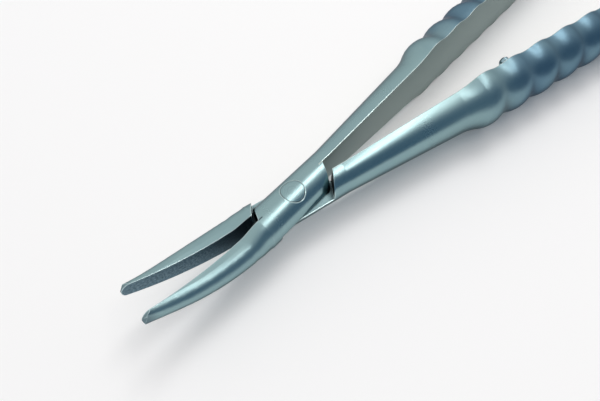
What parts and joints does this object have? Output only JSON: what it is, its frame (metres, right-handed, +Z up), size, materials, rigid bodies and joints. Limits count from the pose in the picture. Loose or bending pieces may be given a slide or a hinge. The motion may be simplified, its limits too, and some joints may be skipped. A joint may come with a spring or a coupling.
{
  "type": "needle holder",
  "caption": "Micro needle holder with curved jaws, a half-round lap joint, ribbed half-round handles and leaf springs that hold it open.",
  "frame": {"origin": "middle of the overall length, on the plane of symmetry between the handles, at the height of the surface that the handles' ridges lie on", "axes": "+X along the instrument from the jaws to the tail, +Y towards the handle of the lever whose lap is on top, +Z up along the pivot axis, the way the jaws curve"},
  "size_m": [0.1544, 0.026, 0.0078],
  "materials": {
    "lever": "blue-green anodised titanium, satin",
    "pin": "blue-green anodised titanium, ground flush",
    "spring": "blue-green anodised titanium, satin",
    "rivet": "blue-green anodised titanium"
  },
  "bodies": {
    "lever_b_body": {"lever_b": "lever", "pivot_pin": "pin", "stop_pin": "pin", "leaf_spring_b": "spring", "rivet_b_front": "rivet", "rivet_b_rear": "rivet"},
    "lever_a_body": {"lever_a": "lever", "leaf_spring_a": "spring", "rivet_a_front": "rivet", "rivet_a_rear": "rivet"},
    "tail_body": {"tail_plate": "spring", "tail_rivet_front": "rivet", "tail_rivet_rear": "rivet"}
  },
  "joints": [
    {"name": "jaw_close", "type": "hinge", "parent": "lever_b_body", "child": "lever_a_body", "pos_m": [-0.05885, 0, 0.00388], "axis": [0, 0, -1], "range_deg": [0, 10], "stiffness_Nm_per_rad": 0.4, "deforming": ["leaf_spring_a", "leaf_spring_b"]},
    {"name": "tail_follow", "type": "hinge", "parent": "lever_b_body", "child": "tail_body", "pos_m": [-0.05885, 0, 0.00388], "axis": [0, 0, -1], "range_deg": [0, 5]}
  ],
  "couplings": [
    {"joint": "tail_follow", "follows": "jaw_close", "ratio": 0.5}
  ]
}
